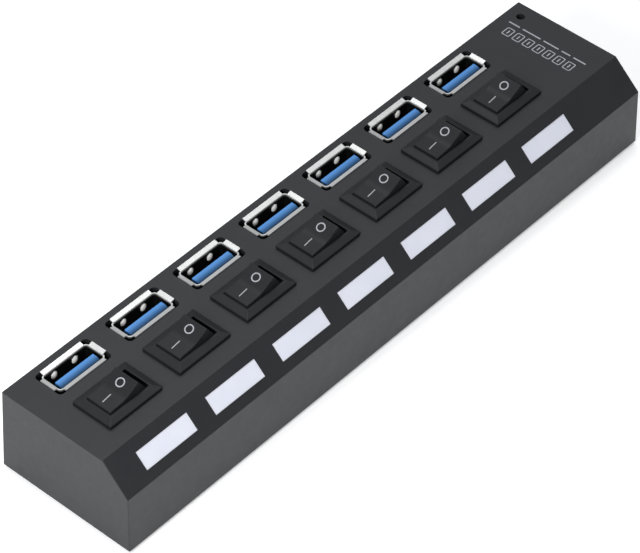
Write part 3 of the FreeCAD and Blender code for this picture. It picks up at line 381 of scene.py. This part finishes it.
def add_ribbon(mesh, path, stroke, skin, patch, closed=True, thick=0.014 * MM, sunk=0.01 * MM):
    """A printed line of even width that follows a path over a surface."""
    points = [Vector(point) for point in path]
    count = len(points)
    rows = []
    for index, point in enumerate(points):
        if closed:
            before, after = points[index - 1], points[(index + 1) % count]
        else:
            before, after = points[max(0, index - 1)], points[min(count - 1, index + 1)]
        run = (after - before).normalized()
        side = Vector((-run.y, run.x)) * stroke / 2
        rows.append((point - side, point + side))
    low, high = [[[mesh.verts.new(skin.lift(patch, edge.x, edge.y, height)) for edge in row]
                  for row in rows] for height in (-sunk, thick)]
    for index in range(count if closed else count - 1):
        following = (index + 1) % count
        for a, b in (((high, 0), (high, 1)), ((low, 1), (low, 0)), ((low, 0), (high, 0)),
                     ((high, 1), (low, 1))):
            mesh.faces.new((a[0][index][a[1]], a[0][following][a[1]], b[0][following][b[1]],
                            b[0][index][b[1]]))
    if not closed:
        for index in (0, count - 1):
            mesh.faces.new((low[index][0], high[index][0], high[index][1], low[index][1]))


def finish_piece(name, mesh, body, material, smooth=False):
    """Turn a bmesh into a piece that rides on a body."""
    bmesh.ops.recalc_face_normals(mesh, faces=mesh.faces)
    data = bpy.data.meshes.new(name)
    mesh.to_mesh(data)
    mesh.free()
    data.materials.append(material)
    for face in data.polygons:
        face.use_smooth = smooth
    piece = bpy.data.objects.new(name, data)
    scene.collection.objects.link(piece)
    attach(piece, body)


def circle_path(radius, count=36):
    turns = [2 * math.pi * index / count for index in range(count)]
    return [(radius * math.cos(turn), radius * math.sin(turn)) for turn in turns]


def line_path(start, end, steps=8):
    start, end = Vector(start), Vector(end)
    return [tuple(start.lerp(end, step / steps)) for step in range(steps + 1)]


def round_box_path(middle, half_u, half_v, radius, steps=5):
    """A closed path round a box with rounded corners."""
    path = []
    for corner, (side_u, side_v) in enumerate(((1, 1), (-1, 1), (-1, -1), (1, -1))):
        for step in range(steps + 1):
            turn = math.pi / 2 * (corner + step / steps)
            path.append((middle[0] + side_u * (half_u - radius) + radius * math.cos(turn),
                         middle[1] + side_v * (half_v - radius) + radius * math.sin(turn)))
    return path


def mark_rockers(ink):
    """A ring on the raised half of each rocker and a bar on the half that is pressed in."""
    ring_radius, stroke = 0.92 * MM, 0.27 * MM
    ring_x, bar_x, bar_half = 0.88 * MM, -3.19 * MM, 1.25 * MM
    ring_y, bar_y, bar_lean = 0.08 * MM, -0.05 * MM, 0.05
    bar_end = Vector((bar_half, bar_half * bar_lean))
    for number in STATIONS:
        body = f"rocker_{number}"
        pivot = HINGES[body]["pos_m"]
        skin = Skin(body)
        mesh = bmesh.new()
        add_ribbon(mesh, circle_path(ring_radius), stroke, skin,
                   skin.patch(pivot[0] + ring_x, pivot[1] + ring_y))
        add_ribbon(mesh, line_path(-bar_end, bar_end), 0.85 * stroke, skin,
                   skin.patch(pivot[0] + bar_x, pivot[1] + bar_y), closed=False)
        finish_piece(f"rocker_print_{number}", mesh, body, ink)


def print_casing(ink):
    """A generic pictogram beside the last switch: seven outlined sockets and a broken line."""
    skin = Skin("top_shell")
    from_end, from_middle = 11.0 * MM, -4.9 * MM
    patch = skin.patch(SHELL_HIGH.x - from_end, from_middle)
    mesh = bmesh.new()
    pitch, box_u, half_box, corner = 2.85 * MM, 0.8 * MM, (1.25 * MM, 0.95 * MM), 0.3 * MM
    half_tongue, box_stroke, tongue_stroke = 0.6 * MM, 0.24 * MM, 0.3 * MM
    for index in range(len(STATIONS)):
        v = index * pitch
        add_ribbon(mesh, round_box_path((box_u, v), *half_box, corner), box_stroke, skin, patch)
        add_ribbon(mesh, line_path((box_u - half_tongue, v), (box_u + half_tongue, v), 2),
                   tongue_stroke, skin, patch, closed=False)
    line_u, start, gap, line_stroke = 3.7 * MM, -2.4 * MM, 0.9 * MM, 0.36 * MM
    for length in (3.4, 2.4, 4.2, 5.0, 3.0):
        end = start + length * MM
        add_ribbon(mesh, line_path((line_u, start), (line_u, end), 2), line_stroke, skin, patch,
                   closed=False)
        start = end + gap
    finish_piece("casing_print", mesh, "hub", ink)


# ---------------------------------------------------------------- springs in the sockets

def make_springs(number, material):
    """Four domed retention springs on the long walls of one socket."""
    low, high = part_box(f"usb_shell_{number}")
    middle_x, middle_y = (low.x + high.x) / 2, (low.y + high.y) / 2
    top_z = SHELL_HIGH.z
    spacing, half_mouth = 2.95 * MM, 2.56 * MM
    half_width, rise, sunk = 0.85 * MM, 0.46 * MM, 0.03 * MM
    start, crest, end, across, along = 1.0 * MM, 1.95 * MM, 2.95 * MM, 14, 20
    mesh = bmesh.new()
    for side_y in (-1, 1):
        for side_x in (-1, 1):
            rows = []
            for step in range(along + 1):
                depth = start + (end - start) * step / along
                reach = crest - start if depth < crest else end - crest
                row = []
                for place in range(across + 1):
                    s = 2 * place / across - 1
                    dome = max(0.0, 1 - ((depth - crest) / reach) ** 2 - s * s) ** 0.7
                    y = half_mouth + sunk - (rise + sunk) * dome
                    row.append(mesh.verts.new((middle_x + side_x * spacing + s * half_width,
                                               middle_y + side_y * y,
                                               top_z - depth)))
                rows.append(row)
            for first, second in zip(rows, rows[1:]):
                for a, b, c, d in zip(first, first[1:], second[1:], second):
                    mesh.faces.new((a, b, c, d))
    bmesh.ops.holes_fill(mesh, edges=[edge for edge in mesh.edges if edge.is_boundary], sides=0)
    finish_piece(f"socket_springs_{number}", mesh, "hub", material, smooth=True)


# ---------------------------------------------------------------- make it all

make_camera()
make_studio()
make_floor()
materials = make_materials()
dress_frame(materials)
mark_rockers(materials["ink"])
print_casing(materials["ink"])
for number in STATIONS:
    make_springs(number, materials["spring"])
